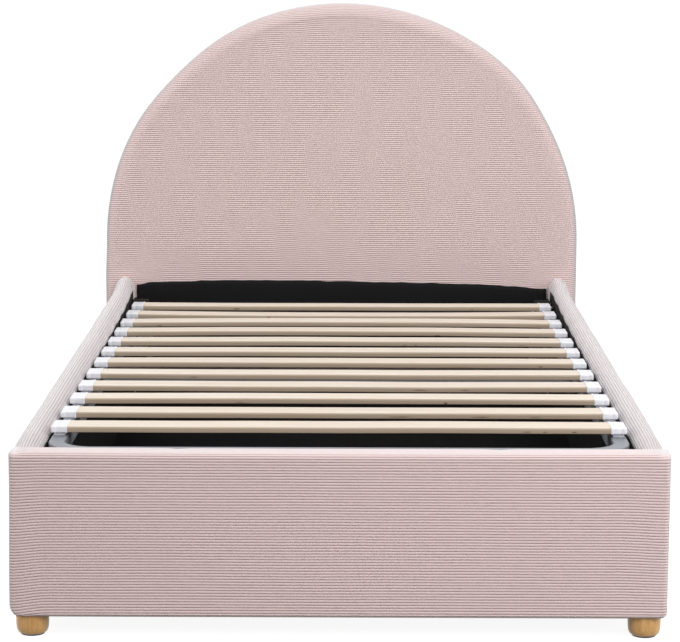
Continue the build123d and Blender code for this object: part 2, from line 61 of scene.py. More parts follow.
# upholstered panels
headboard_front_round = 35 * mm
headboard_back_round = 10 * mm
back_cloth_inset = 14 * mm
back_cloth_overlap = 8 * mm  # how far the headboard's fabric runs on under the back cloth
panel_round = 10 * mm
bottom_round = 6 * mm
rail_round = 25 * mm

# How far outward the rails' inner sides stand: metres from the headboard, then mm.
inner_lines = {
    "left": ((0.0, 0.21, 0.42, 0.84, 1.10, 1.30, 1.60, 2.0),
             (11.0, 3.0, -2.0, -4.0, -2.5, -0.5, -2.5, 0.0)),
    "right": ((0.0, 0.21, 0.42, 0.63, 0.90), (11.0, 6.5, 4.0, 1.5, 0.0)),
}
core_clearance = 8 * mm  # the most that they may stand outward beside the rail's core
core_top = (328 * mm, 338 * mm)  # the heights over which that limit fades out

# cloth and staples
cloth_thick = 0.6 * mm
cloth_gap = 0.6 * mm  # between a lining and the fabric it lies on
lining_held = 0.08  # the share of a lining's height over which its slack begins
staple_spacing = 155 * mm  # along the rails
staple_wire = 0.9 * mm
staple_width = 11 * mm
staple_leg = 3 * mm
back_staple_inset = 9 * mm
back_staple_spacing = 68 * mm

# slats and their caps
slat_count = 12
slat_round = 4.5 * mm
slat_under_round = 1.5 * mm
# how far each slat stands up in its middle, in mm, from the foot end
slat_crowns = (0.4, -0.5, 1.1, -0.9, -0.9, 0.7, 0.7, 1.5, 2.8, 3.2, -3.9, -1.0)
cap_wall = 1.0 * mm
cap_side_wall = 1.5 * mm
cap_play = 0.25 * mm  # between a slat and its cap
cap_round = 2.6 * mm

merge_distance = 0.001 * mm


# -------------------- places read from the frame

def platform_plane():
    """The matrix from the platform's own level frame, at its hinge, to the row frame at rest."""
    lift = next(j for j in frame["joints"] if j["name"] == "platform_lift")
    open_at_rest = math.radians(-min(lift["range_deg"]))
    return Matrix.Translation(lift["pos_m"]) @ Matrix.Rotation(-open_at_rest, 4, "X")


deck = platform_plane()


def deck_box(node):
    """Lowest and highest corner of a node, measured square to the platform."""
    to_deck = deck.inverted()
    points = np.array([to_deck @ v.co for v in frame["nodes"][node].data.vertices])
    return Vector(points.min(0)), Vector(points.max(0))


def side_of(low, high):
    """1 or -1 for a box's side of the bed, and its inner and outer distance from the middle."""
    inner, outer = sorted((abs(low.x), abs(high.x)))
    return (1 if high.x > 0 else -1), inner, outer


# -------------------- mesh helpers

def smooth_field(u, v, shortest, longest, seed):
    """An uneven, smooth field of about -1 to 1 over two coordinates in metres."""
    waves = 7
    random = np.random.default_rng(seed)
    total = np.zeros(np.broadcast(u, v).shape)
    for _ in range(waves):
        turn = 2 * math.pi / random.uniform(shortest, longest)
        angle, phase = random.uniform(0, 2 * math.pi, 2)
        total += np.sin(turn * (u * math.cos(angle) + v * math.sin(angle)) + phase)
    return total / math.sqrt(waves)


def ramp(value, start, end):
    """0 before start, 1 after end, smooth between."""
    t = np.clip((value - start) / (end - start), 0, 1)
    return t * t * (3 - 2 * t)


def bell(value, middle, width):
    """1 at the middle, falling away to nothing on both sides."""
    return np.exp(-(((value - middle) / width) ** 2))


def corner_inset(distance, radius):
    """How far a rounded edge lies inside its flat face, at a distance from the edge."""
    missing = np.clip(radius - distance, 0, radius)
    return radius - np.sqrt(radius**2 - missing**2)


def rib_rows(length):
    """Places across the ribs, and the height at each: 0 in a groove, 1 on a crest."""
    count = round(length / rib_pitch)
    phases = np.array(rib_phases)
    height = 1 - np.abs(2 * phases - 1) ** rib_fullness
    places = (np.arange(count)[:, None] + phases).ravel() * length / count
    return np.append(places, length), np.append(np.tile(height, count), 0.0)


def points_at(x, y, z):
    """Points from three coordinates, each spread over the shape of all."""
    return np.stack(np.broadcast_arrays(x, y, z), axis=-1)


def grid_faces(rows, columns, wrap=False, start=0):
    """Quads over points numbered row by row from start; wrap joins the last column to the first."""
    row = np.arange(rows - 1)[:, None] * columns
    column = np.arange(columns if wrap else columns - 1)
    after = (column + 1) % columns
    corners = (row + column, row + after, row + columns + after, row + columns + column)
    return (np.stack(corners, axis=-1).reshape(-1, 4) + start).tolist()


def mesh_object(name, points, faces, rib=None, sharp=None):
    """A smooth-shaded object with its normals outward. rib becomes a point attribute."""
    mesh = bpy.data.meshes.new(name)
    mesh.from_pydata(np.asarray(points, float).reshape(-1, 3).tolist(), [], faces)
    if rib is not None:
        layer = mesh.attributes.new("rib", "FLOAT", "POINT")
        layer.data.foreach_set("value", np.asarray(rib, np.float32).ravel())
    work = bmesh.new()
    work.from_mesh(mesh)
    bmesh.ops.remove_doubles(work, verts=work.verts, dist=merge_distance)
    bmesh.ops.recalc_face_normals(work, faces=work.faces)
    work.to_mesh(mesh)
    work.free()
    mesh.shade_smooth()
    if sharp is not None:
        mesh.set_sharp_from_angle(angle=math.radians(sharp))
    return linked(name, mesh)


def linked(name, data):
    """A new object in the scene."""
    made = bpy.data.objects.new(name, data)
    bpy.context.scene.collection.objects.link(made)
    return made


def loft_points(rings):
    """Points and faces of a closed body through rings that have the same number of points."""
    rings = np.asarray(rings, float)
    count, around = rings.shape[:2]
    faces = grid_faces(count, around, wrap=True)
    faces.append(list(range(around))[::-1])
    faces.append(list(range((count - 1) * around, count * around)))
    return rings.reshape(-1, 3), faces


def join_parts(parts):
    """One list of points and faces from several."""
    points, faces, start = [], [], 0
    for part_points, part_faces in parts:
        points.append(np.asarray(part_points, float).reshape(-1, 3))
        faces += [[i + start for i in face] for face in part_faces]
        start += len(points[-1])
    return np.concatenate(points), faces


def rounded_section(half_u, half_v, radii, corner_steps, between):
    """Points round a rectangle, with rounded corners from the upper right on."""
    corners = []
    for k, (side_u, side_v) in enumerate(((1, 1), (-1, 1), (-1, -1), (1, -1))):
        centre = np.array((side_u * (half_u - radii[k]), side_v * (half_v - radii[k])))
        angles = np.linspace(k, k + 1, corner_steps) * quarter_turn
        corners.append(centre + radii[k] * np.stack([np.cos(angles), np.sin(angles)], axis=-1))
    steps = np.linspace(0, 1, between + 2)[1:-1, None]
    points = []
    for corner, following in zip(corners, corners[1:] + corners[:1]):
        points += [corner, corner[-1] + (following[0] - corner[-1]) * steps]
    return np.concatenate(points)


def place(points, matrix):
    """The same points, moved by a matrix."""
    turn, shift = np.array(matrix.to_3x3()), np.array(matrix.translation)
    return points @ turn.T + shift


def finish_piece(piece, body, material, nodes=()):
    """Gives a piece its material and slot and its body, and hides the nodes that it stands for."""
    piece.data.materials.append(material)
    if nodes:
        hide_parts(*nodes)
    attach(piece, body)
    return piece


# -------------------- material helpers

class Nodes:
    """A node tree that is built a line at a time."""

    def __init__(self, tree):
        self.tree = tree

    def fill(self, node, inputs):
        """Links or sets inputs of a node, given by name or number."""
        for key, value in inputs.items():
            if isinstance(value, bpy.types.NodeSocket):
                self.tree.links.new(value, node.inputs[key])
            else:
                node.inputs[key].default_value = value

    def add(self, kind, inputs=None, **settings):
        """A new node with its settings and inputs."""
        node = self.tree.nodes.new(kind)
        for key, value in settings.items():
            setattr(node, key, value)
        self.fill(node, inputs or {})
        return node

    def math(self, operation, a, b=0.0, clamp=False):
        inputs = {0: a, 1: b}
        return self.add("ShaderNodeMath", inputs, operation=operation, use_clamp=clamp).outputs[0]

    def vector(self, operation, *values):
        """A vector calculation, whose result is a number for LENGTH and a vector otherwise."""
        node = self.add("ShaderNodeVectorMath", dict(enumerate(values)), operation=operation)
        return node.outputs["Value" if operation == "LENGTH" else "Vector"]


class Shader(Nodes):
    """A Principled material and the usual steps of its pattern."""

    def __init__(self, name, roughness, metallic=0.0, specular=0.5):
        self.material = bpy.data.materials.new(name)
        self.material.use_nodes = True
        super().__init__(self.material.node_tree)
        self.surface = self.tree.nodes["Principled BSDF"]
        constants = {"Roughness": roughness, "Metallic": metallic, "Specular IOR Level": specular}
        self.fill(self.surface, constants)
        self.place = self.add("ShaderNodeTexCoord").outputs["Object"]

    def stretched(self, across, along, up):
        """Coordinates scaled by axis."""
        inputs = {"Vector": self.place, "Scale": (across, along, up)}
        return self.add("ShaderNodeMapping", inputs).outputs["Vector"]

    def noise(self, scale, vector=None, detail=3.0, rough=0.5, distortion=0.0):
        """A noise value of about 0 to 1, with that many blobs to the metre."""
        inputs = {
            "Vector": vector or self.place, "Scale": scale,
            "Detail": detail, "Roughness": rough, "Distortion": distortion,
        }
        return self.add("ShaderNodeTexNoise", inputs).outputs["Fac"]

    def cells(self, scale, vector, randomness=1.0):
        """A pattern of cells, with that many to the metre."""
        inputs = {"Vector": vector, "Scale": scale, "Randomness": randomness}
        return self.add("ShaderNodeTexVoronoi", inputs, feature="F1").outputs

    def span(self, value, low, high, to_low=0.0, to_high=1.0, smooth=False):
        """The value from low to high, mapped to the new range and held there."""
        inputs = {
            "Value": value, "From Min": low, "From Max": high, "To Min": to_low, "To Max": to_high,
        }
        kind = "SMOOTHSTEP" if smooth else "LINEAR"
        return self.add("ShaderNodeMapRange", inputs, interpolation_type=kind).outputs["Result"]

    def mix(self, amount, first, second):
        """Two colours mixed by an amount."""
        inputs = {0: amount, 6: first, 7: second}
        return self.add("ShaderNodeMix", inputs, data_type="RGBA", blend_type="MIX").outputs[2]

    def bump(self, height, distance):
        inputs = {"Strength": 1.0, "Distance": distance, "Height": height}
        return self.add("ShaderNodeBump", inputs).outputs["Normal"]

    def finish(self, colour, normal=None, roughness=None):
        given = {"Base Color": colour, "Normal": normal, "Roughness": roughness}
        self.fill(self.surface, {key: value for key, value in given.items() if value is not None})
        return self.material


def linear(red, green, blue):
    """A colour written as screen values from 0 to 255, as the shader wants it."""
    def one(value):
        value = value / 255
        return value / 12.92 if value <= 0.04045 else ((value + 0.055) / 1.055) ** 2.4
    return (one(red), one(green), one(blue), 1.0)


def cord_fabric():
    """Pale pink cord velvet: darker in its grooves, where the darker colour is painted shade, greyer at a slant
    and paler at grazing by a painted sheen, and shaded where brushed.
    """
    s = Shader("cord_fabric", roughness=0.95, specular=0.15)
    rib = s.add("ShaderNodeAttribute", attribute_name="rib").outputs["Fac"]
    brushed = s.span(s.noise(9, detail=2), 0.3, 0.7)
    fibre = s.noise(1500, detail=2)
    slant = s.add("ShaderNodeLayerWeight", {"Blend": 0.5}).outputs["Facing"]
    # painted sheen: the facing value turns crest and groove greyer at a slant, and the crest near white at grazing
    painted_glancing_sheen = s.span(slant, 0.32, 0.6, 0.0, 0.9, smooth=True)
    painted_grazing_sheen = s.span(slant, 0.75, 0.97, 0.0, 0.9, smooth=True)
    crest = s.mix(painted_glancing_sheen, linear(240, 220, 218), linear(203, 202, 205))
    crest = s.mix(painted_grazing_sheen, crest, linear(250, 248, 249))
    # painted shade: the grooves take a darker colour than the crests, standing in for the shade between the ribs
    groove = s.mix(painted_glancing_sheen, linear(160, 120, 112), linear(146, 122, 120))
    colour = s.mix(s.span(rib, 0.0, 0.8, smooth=True), groove, crest)
    colour = s.mix(s.math("MULTIPLY", brushed, 0.2), colour, linear(224, 203, 202))
    colour = s.mix(s.span(fibre, 0.35, 0.65, 0.0, 0.1), colour, linear(212, 183, 178))
    sheen = {"Sheen Weight": 1.0, "Sheen Roughness": 0.4, "Sheen Tint": linear(252, 250, 251)}
    s.fill(s.surface, sheen)
    return s.finish(colour, s.bump(fibre, 0.06 * mm))


def black_lining():
    """Thin black non-woven cloth with its pressed dot pattern and a few paler fibres."""
    s = Shader("black_lining", roughness=0.85, specular=0.25)
    pressed = s.span(s.cells(650, s.place, randomness=0.35)["Distance"], 0.15, 0.5)
    fibres = s.noise(420, s.stretched(1, 1, 4), detail=4, rough=0.7)
    colour = s.mix(s.span(fibres, 0.4, 0.75), linear(10, 9, 11), linear(22, 20, 23))
    height = s.math("ADD", pressed, s.math("MULTIPLY", fibres, 0.8))
    return s.finish(colour, s.bump(height, 0.12 * mm))


def slat_wood(marks):
    """Pale sanded wood with long grain, and the small knots and bark streaks in marks; its sides are darker,
    partly edge grain and partly painted shade, and painted shade darkens its undersides.
    """
    s = Shader("slat_wood", roughness=0.5, specular=0.5)
    pale, warm, brown = linear(239, 232, 222), linear(229, 216, 197), linear(150, 118, 88)
    long_way = s.stretched(1.6, 34, 34)
    bands = s.noise(3.2, long_way, detail=3, rough=0.55, distortion=0.6)
    lines = s.noise(26, long_way, detail=3, rough=0.6)
    piece = s.noise(4.5, s.stretched(0.05, 1, 0.05), detail=0)
    colour = s.mix(s.span(bands, 0.32, 0.62), pale, warm)
    colour = s.mix(s.span(piece, 0.35, 0.6, 0.0, 0.6), colour, linear(226, 211, 195))
    colour = s.mix(s.span(lines, 0.5, 0.72, 0.0, 0.45), colour, linear(202, 182, 156))
    facing = s.add("ShaderNodeTexCoord").outputs["Normal"]
    upward = s.add("ShaderNodeSeparateXYZ", {0: facing}).outputs["Z"]
    # the faces turned from upright are darker: partly darker edge grain, partly painted shade
    edge = s.span(s.math("ABSOLUTE", upward), 0.99, 0.6, 0.0, 0.9, smooth=True)
    colour = s.mix(edge, colour, linear(172, 152, 130))
    # painted shade: the downward-facing lower round is darkened towards a dark brown
    under = s.span(upward, 0.1, -0.7, 0.0, 0.6, smooth=True)
    colour = s.mix(under, colour, linear(112, 94, 76))
    streak = s.noise(1.0, s.stretched(5, 210, 210), detail=2, rough=0.6)
    colour = s.mix(s.span(streak, 0.66, 0.74, 0.0, 0.4, smooth=True), colour, brown)
    ragged = Vector((3, 1.5, 1.5)) * mm  # how far a mark's outline strays
    cloud = s.add("ShaderNodeTexNoise", {"Scale": 160, "Vector": s.place}).outputs["Color"]
    strayed = s.vector("MULTIPLY_ADD", cloud, 2 * ragged, s.place)
    dark = 0.0
    for centre, size, strength in marks:
        away = s.vector("SUBTRACT", strayed, centre + ragged)
        distance = s.vector("LENGTH", s.vector("DIVIDE", away, size))
        mark = s.span(distance, 1.0, 0.3, 0.0, strength, smooth=True)
        dark = s.math("MAXIMUM", dark, mark)
    colour = s.mix(dark, colour, linear(84, 54, 36))
    grain = s.math("ADD", lines, s.math("MULTIPLY", streak, 0.5))
    return s.finish(colour, s.bump(grain, 0.12 * mm))


def foot_wood():
    """Light turned wood under satin lacquer, with upright grain."""
    s = Shader("foot_wood", roughness=0.38, specular=0.45)
    upright = s.stretched(38, 38, 3.5)
    bands = s.noise(3.0, upright, detail=4, rough=0.6, distortion=1.2)
    pores = s.noise(30, upright, detail=2)
    colour = s.mix(s.span(bands, 0.35, 0.65), linear(232, 184, 120), linear(208, 156, 90))
    colour = s.mix(s.span(pores, 0.56, 0.72, 0.0, 0.5), colour, linear(146, 105, 62))
    s.fill(s.surface, {"Coat Weight": 0.25, "Coat Roughness": 0.25})
    return s.finish(colour, s.bump(pores, 0.08 * mm))


def cap_plastic():
    """Moulded white plastic with a fine spark-eroded texture."""
    s = Shader("cap_plastic", roughness=0.42, specular=0.5)
    grain = s.noise(2600, detail=2)
    scuffs = s.noise(60, detail=4, rough=0.7)
    scuffed = s.span(scuffs, 0.55, 0.8, 0.0, 0.5)
    colour = s.mix(scuffed, linear(238, 239, 245), linear(216, 218, 228))
    return s.finish(colour, s.bump(grain, 0.03 * mm), s.span(scuffs, 0.3, 0.7, 0.36, 0.5))


def powder_coat(name, base, worn, roughness, specular=0.5):
    """Powder-coated steel: a faint orange peel with rubbed patches."""
    s = Shader(name, roughness=roughness, specular=specular)
    peel = s.noise(700, detail=2)
    rubbed = s.noise(14, detail=5, rough=0.7)
    colour = s.mix(s.span(rubbed, 0.45, 0.75, 0.0, 0.5), base, worn)
    gloss = s.span(rubbed, 0.3, 0.7, roughness - 0.06, roughness + 0.08)
    return s.finish(colour, s.bump(peel, 0.05 * mm), gloss)


def zinc(name, base, dull, roughness):
    """Zinc-plated steel with a cloudy passivated tint and fine rolling lines."""
    s = Shader(name, roughness=roughness, metallic=1.0)
    clouds = s.noise(45, detail=4, rough=0.65)
    lines = s.noise(900, s.stretched(1, 1, 0.06), detail=1)
    colour = s.mix(s.span(clouds, 0.35, 0.7), base, dull)
    gloss = s.span(clouds, 0.3, 0.7, roughness - 0.06, roughness + 0.1)
    return s.finish(colour, s.bump(lines, 0.02 * mm), gloss)


def chip_board():
    """Raw particle board: flat chips in several tones, pressed in resin."""
    s = Shader("core_board", roughness=0.85, specular=0.2)
    chips = s.cells(230, s.stretched(0.7, 1, 1))
    tone = s.add("ShaderNodeSeparateColor", {0: chips["Color"]})
    dust = s.noise(900, detail=3)
    colour = s.mix(tone.outputs[0], linear(206, 178, 134), linear(160, 126, 82))
    colour = s.mix(s.span(dust, 0.45, 0.7, 0.0, 0.4), colour, linear(122, 92, 58))
    return s.finish(colour, s.bump(chips["Distance"], 0.2 * mm))


def planed_timber():
    """Planed softwood with long growth lines."""
    s = Shader("core_timber", roughness=0.7, specular=0.25)
    long_way = s.stretched(28, 2, 28)
    rings = s.noise(2.5, long_way, detail=3, distortion=0.8)
    fine = s.noise(22, long_way, detail=2)
    colour = s.mix(s.span(rings, 0.35, 0.65), linear(226, 194, 146), linear(196, 152, 102))
    colour = s.mix(s.span(fine, 0.55, 0.75, 0.0, 0.4), colour, linear(160, 116, 70))
    return s.finish(colour, s.bump(fine, 0.15 * mm))


def floor_board_face():
    """Thin board with a dark grey printed face and a light dusting of wear."""
    s = Shader("floor_board", roughness=0.8, specular=0.12)
    print_grain = s.noise(260, s.stretched(1, 0.15, 1), detail=3)
    wear = s.noise(7, detail=5, rough=0.65)
    colour = s.mix(s.span(print_grain, 0.35, 0.7), linear(9, 8, 10), linear(14, 13, 15))
    colour = s.mix(s.span(wear, 0.5, 0.8, 0.0, 0.5), colour, linear(20, 19, 21))
    return s.finish(colour, s.bump(print_grain, 0.05 * mm))


def dark_plastic(name, base, pale, roughness):
    """Black moulded plastic or rubber with a matt texture."""
    s = Shader(name, roughness=roughness, specular=0.4)
    grain = s.noise(1800, detail=2)
    bloom = s.noise(50, detail=4)
    colour = s.mix(s.span(bloom, 0.4, 0.75), base, pale)
    return s.finish(colour, s.bump(grain, 0.05 * mm))


def gloss_paint():
    """Gloss black paint on the gas cylinders, with faint dust."""
    s = Shader("strut_body", roughness=0.16, specular=0.5)
    dust = s.noise(90, detail=5, rough=0.7)
    colour = s.mix(s.span(dust, 0.5, 0.8), linear(18, 18, 20), linear(46, 46, 50))
    return s.finish(colour, None, s.span(dust, 0.35, 0.75, 0.12, 0.34))


def polished_rod():
    """Polished chrome with fine turning marks round the rod."""
    s = Shader("strut_rod", roughness=0.08, metallic=1.0)
    turning = s.noise(2400, s.stretched(0.1, 1, 1), detail=1)
    film = s.noise(120, detail=3)
    colour = s.mix(s.span(film, 0.4, 0.8), linear(236, 237, 240), linear(206, 208, 214))
    return s.finish(colour, s.bump(turning, 0.01 * mm), s.span(film, 0.3, 0.7, 0.06, 0.16))

# -------------------- marks on the slats

def slat_marks():
    """Small dark marks in the slats' front edges: centre, half size and strength of each."""
    seen = (  # slat number, place across the bed, length in mm, strength
        (12, -0.269, 22, 0.75), (12, 0.335, 9, 0.45), (11, -0.182, 7, 0.9), (10, -0.441, 12, 0.7),
        (9, 0.229, 24, 0.8), (8, 0.148, 14, 0.5), (8, 0.174, 10, 0.55), (8, 0.418, 30, 0.3),
        (6, 0.438, 9, 0.95), (4, 0.165, 40, 0.5), (4, 0.258, 30, 0.4), (3, 0.211, 10, 0.95),
        (2, 0.117, 60, 0.45), (2, 0.272, 50, 0.5), (2, 0.379, 36, 0.35), (1, 0.351, 22, 0.5),
        (1, 0.385, 12, 0.6), (1, 0.44, 14, 0.7), (5, -0.31, 26, 0.4), (3, -0.2, 30, 0.35),
    )
    share_up, half_deep, half_tall = 0.3, 4 * mm, 2.2 * mm
    marks = []
    for number, x, length, strength in seen:
        low, high = deck_box(f"slat_{number:02d}")
        centre = deck @ Vector((x, low.y, low.z + (high.z - low.z) * share_up))
        marks.append((centre, (length / 2 * mm, half_deep, half_tall), strength))
    return marks


# -------------------- upholstery

def padded_piece(name, points, faces, rib, node, material):
    """A fabric over firm padding, in place of its cover."""
    piece = mesh_object(name, points, faces, rib)
    return finish_piece(piece, "base", material, [node])


def headboard_fabric(material):
    """The arched headboard's fabric, laid flat in level ribs and turned round the edge."""
    front_round, back_round = headboard_front_round, headboard_back_round
    wave_depth, padding_depth, front_sink, tuck_depth = 1.1 * mm, 1.0 * mm, 0.5 * mm, 2.5 * mm
    lean, lean_height, lean_spread = 10 * mm, 0.905, 0.1  # the arch leans over to the right
    flare, flare_from, flare_heights = 3.5 * mm, 0.5, (0.34, 0.45)  # the lower left edge stands out
    columns = 83

    low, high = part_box("headboard_cover")
    half = high.x
    arch_z = high.z + rib_lift - half
    flat = half - front_round
    turn, back_turn = front_round * quarter_turn, back_round * quarter_turn
    side = high.y - low.y - front_round - back_round
    overlap = back_cloth_inset + back_cloth_overlap - back_round
    reach = flat + turn + side + back_turn + overlap

    rows, height = rib_rows(arch_z + reach - low.z)
    height = height[:, None]
    flat_z = (low.z + rows)[:, None]
    across = np.sin(np.linspace(-1, 1, columns) * quarter_turn)
    x = np.sqrt(np.clip(reach**2 - np.clip(flat_z - arch_z, 0, None) ** 2, 0, None)) * across
    wave = smooth_field(x, flat_z * 0.4, 60 * mm, 130 * mm, seed=11)
    calm = ramp(flat_z, low.z, low.z + 0.1) * (1 - ramp(np.abs(across), 0.75, 0.95))
    z = flat_z + wave_depth * wave * calm

    # distance and direction from the arch's centre line, then how far the fabric has gone round
    above = np.clip(z - arch_z, 0, None)
    away = np.hypot(x, above)
    away_safe = np.where(away > 0, away, 1.0)
    d = away - flat
    front_angle = np.clip(d / front_round, 0, quarter_turn)
    back_angle = np.clip((d - turn - side) / back_round, 0, quarter_turn)
    along_side = np.clip(d - turn, 0, side)
    along_back = np.clip(d - turn - side - back_turn, 0, None)
    out = front_round * np.sin(front_angle) - back_round * (1 - np.cos(back_angle)) - along_back
    y = low.y + front_round * (1 - np.cos(front_angle)) + along_side
    y = y + back_round * np.sin(back_angle)
    radial = np.where(d > 0, flat + out, away)

    on_front = d < 0
    padding = padding_depth * smooth_field(x, z, 0.25, 0.6, seed=12) * on_front
    tuck = tuck_depth * ramp(along_back, overlap * 0.3, overlap)
    hem = corner_inset(rows[:, None], bottom_round)
    press = rib_lift - rib_depth * (1 - height) - hem - padding * 0.5 - front_sink * on_front - tuck
    radial = radial + press * np.sin(front_angle) * np.cos(back_angle)
    y = y + press * (np.sin(back_angle) - np.cos(front_angle))
    z = np.where(z < arch_z, z, arch_z + radial * above / away_safe)
    sideways = lean * bell(z, lean_height, lean_spread)
    sideways = sideways - flare * ramp(-x, flare_from, half) * (1 - ramp(z, *flare_heights))
    points = points_at(radial * x / away_safe + sideways, y, z)

    faces = grid_faces(len(rows), columns)
    left = [row * columns for row in range(len(rows))]
    right = [first + columns - 1 for first in left]
    faces.append(list(range(columns)))
    faces.append(left + right[::-1])
    rib = np.broadcast_to(height, (len(rows), columns))
    return padded_piece("headboard_fabric", points, faces, rib, "headboard_cover", material)


def panel_loop(xs, ys):
    """Anchor points round a rectangle, and the outward way at each, going round its corners."""
    right, rear = xs[-1], ys[-1]
    turns = np.linspace(0, 90, 6)[1:-1]
    anchors, facing = [], []
    for places, way in (
        ([(x, -rear) for x in xs], -90), ([(right, y) for y in ys], 0),
        ([(x, rear) for x in xs[::-1]], 90), ([(-right, y) for y in ys[::-1]], 180),
    ):
        anchors += places + [places[-1]] * len(turns)
        facing += [way] * len(places) + list(way + turns)
    facing = np.radians(facing)
    ways = np.stack([np.cos(facing), np.sin(facing)], axis=-1)
    return np.array(anchors), ways.round(15)  # exactly square on the straight sides


def foot_panel_fabric(material):
    """The foot panel's fabric: level ribs round the panel, and ribs along its flat top."""
    hem_lift = 1.6 * mm  # the lower hem is drawn up a little
    sag, dent, dent_place, dent_width = 1.3 * mm, 1.6 * mm, 0.29, 14 * mm  # of the top edge
    left_draw, left_reach = 3.6 * mm, 45 * mm  # the top left corner is drawn in
    left_pull, left_pull_reach = 7.5 * mm, 70 * mm  # the front is pulled down at its ends
    right_pull, right_pull_reach = 3.0 * mm, 90 * mm
    wave_depth, soft_depth, flat_reach, columns = 0.3 * mm, 0.6 * mm, 12 * mm, 73

    low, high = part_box("foot_panel_cover")
    low.z += hem_lift
    half_x, half_y = (high.x - low.x) / 2, (high.y - low.y) / 2
    inner_x, inner_y = half_x - panel_round, half_y - panel_round
    top_rows, top_height = rib_rows(2 * inner_y)
    top_rows = top_rows - inner_y
    xs = np.linspace(-inner_x, inner_x, columns)
    anchors, ways = panel_loop(xs, top_rows)

    under, over = bottom_round * quarter_turn, panel_round * quarter_turn
    wall = high.z - low.z - bottom_round - panel_round
    rows, height = rib_rows(under + wall + over)
    rows, height = rows[:, None], height[:, None]
    x = anchors[:, 0] + ways[:, 0] * panel_round

    def drawn_in(across):
        return left_draw * ramp(-across, inner_x - left_reach, inner_x)

    def sunk(across, along):
        middle = np.cos(np.clip(across / half_x, -1, 1) * quarter_turn)
        dents = bell(np.abs(across), dent_place, dent_width) * ramp(along, 0, inner_y)
        return sag * middle + dent * dents

    def flattened(across):
        return 1 - ramp(inner_x - np.abs(across), 0, flat_reach)

    level = rows / rows[-1]
    swell = np.sin(level * math.pi)
    pull = left_pull * ramp(-x, half_x - left_pull_reach, half_x) * (1 - level * 0.75)
    pull = pull + right_pull * ramp(x, half_x - right_pull_reach, half_x) * swell
    wave = wave_depth * smooth_field(x, rows, 0.12, 0.4, seed=21) * swell
    s = np.clip(rows - pull * (1 - level**6) + wave, 0, rows[-1])

    turn_under = np.clip(s / bottom_round, 0, quarter_turn)
    turn_over = np.clip((s - under - wall) / panel_round, 0, quarter_turn)
    square = 1 - 0.5 * np.abs(ways[:, 0])
    inset = bottom_round * (1 - np.sin(turn_under))
    inset = inset + panel_round * (1 - np.cos(turn_over) ** square)
    z = low.z + bottom_round * (1 - np.cos(turn_under)) + np.clip(s - under, 0, wall)
    z = z + panel_round * np.sin(turn_over) ** square
    front = np.clip(-ways[:, 1], 0, 1)
    soft = soft_depth * smooth_field(x, rows, 0.2, 0.5, seed=22) * swell * front
    height = 1 - (1 - height) * (1 - flattened(anchors[:, 0]) * ramp(level, 0.93, 1.0))
    press = rib_lift - rib_depth * (1 - height) + soft
    out = panel_round - inset + press * np.sin(turn_under) * np.cos(turn_over)

    def lower_corner(side, depth, reach, tall):
        low_down = np.clip(1 - (z - low.z) / tall, 0, 1) ** 2
        return side * depth * ramp(side * x, half_x - reach, half_x) * low_down

    corners = lower_corner(-1, 9 * mm, 30 * mm, 22 * mm) + lower_corner(1, 3 * mm, 20 * mm, 10 * mm)
    wall_x = anchors[:, 0] + ways[:, 0] * out - corners
    wall_x = wall_x + drawn_in(anchors[:, 0]) * ramp(level, 0.1, 0.9)
    z = z + press * (np.sin(turn_over) - np.cos(turn_under))
    z = z - sunk(anchors[:, 0], anchors[:, 1]) * level**8
    walls = points_at(wall_x, anchors[:, 1] + ways[:, 1] * out, z)

    gx, gy = np.meshgrid(xs, top_rows)
    crest = 1 - (1 - top_height[:, None]) * (1 - flattened(gx))
    top_z = high.z + rib_lift - rib_depth * (1 - crest) - sunk(gx, gy)
    top = points_at(gx + drawn_in(gx), gy, top_z)

    count, around = walls.shape[:2]
    faces = grid_faces(count, around, wrap=True)
    faces.append(list(range(around)))
    faces += grid_faces(len(top_rows), len(xs), start=count * around)
    points = np.concatenate([walls.reshape(-1, 3), top.reshape(-1, 3)])
    points[:, 1] += (low.y + high.y) / 2
    rib = np.concatenate([height.ravel(), crest.ravel()])
    return padded_piece("foot_panel_fabric", points, faces, rib, "foot_panel_cover", material)


def staple_pull(along):
    """1 midway between two staples of a rail's inner edge, and 0 at each."""
    fullness = 0.6
    return np.abs(np.sin(along / staple_spacing * math.pi)) ** fullness


def inner_draw(side, from_head, height):
    """How far outward the inner side of a rail stands from a straight line."""
    drawn = np.interp(from_head, *inner_lines[side]) * mm
    beside_core = 1 - ramp(height, *core_top)
    return drawn - np.clip(drawn - core_clearance, 0, None) * beside_core


